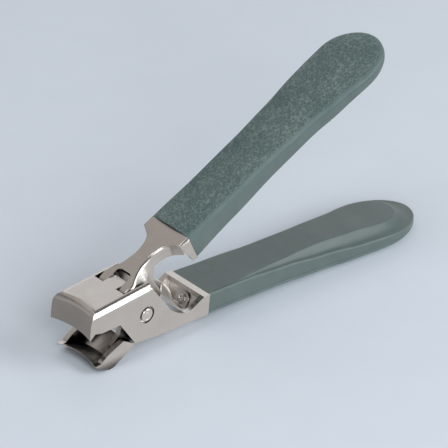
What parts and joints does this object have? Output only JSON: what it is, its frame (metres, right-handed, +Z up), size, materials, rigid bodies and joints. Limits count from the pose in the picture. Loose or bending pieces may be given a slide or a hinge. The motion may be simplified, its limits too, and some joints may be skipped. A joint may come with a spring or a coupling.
{
  "type": "plier-type nail clipper",
  "caption": "Plier-type nail clipper with wide hollow-curved jaws, a riveted pivot, a leaf return spring and sprung handles with bulb-ended leather-grained grips.",
  "frame": {"origin": "middle of the bounding box's base, on the level surface the tool stands on: it touches it with its lower jaw and with the bulb of its lower grip", "axes": "+X from the cutting edges towards the handle ends, +Y across the tool along the pivot axis, +Z up from the surface"},
  "size_m": [0.1206, 0.0186, 0.063],
  "materials": {
    "satin_steel": "fine satin, brushed along the tool",
    "polished_steel": "polished rivet heads",
    "spring_steel": "satin spring steel",
    "grip_plastic": "smooth, soft sheen, dark grey-green",
    "grip_leather": "leather-grained, dark grey-green"
  },
  "bodies": {
    "lower_handle": {"upper_jaw_frame": "satin_steel", "pivot_rivet": "polished_steel", "pivot_spacer": "satin_steel", "thrust_washer_near": "spring_steel", "thrust_washer_far": "spring_steel", "return_spring": "spring_steel", "spring_rivet": "polished_steel", "lower_grip_body": "grip_plastic", "lower_grip_pad": "grip_leather"},
    "upper_handle": {"lower_jaw_frame": "satin_steel", "upper_grip_body": "grip_plastic", "upper_grip_pad": "grip_leather"}
  },
  "joints": [
    {"name": "pivot_hinge", "type": "hinge", "parent": "lower_handle", "child": "upper_handle", "pos_m": [-0.04022, 0, 0.01201], "axis": [0, 1, 0], "range_deg": [0, 26.3], "stiffness_Nm_per_rad": 0.6, "springref_deg": -20.05, "deforming": ["return_spring"]}
  ]
}
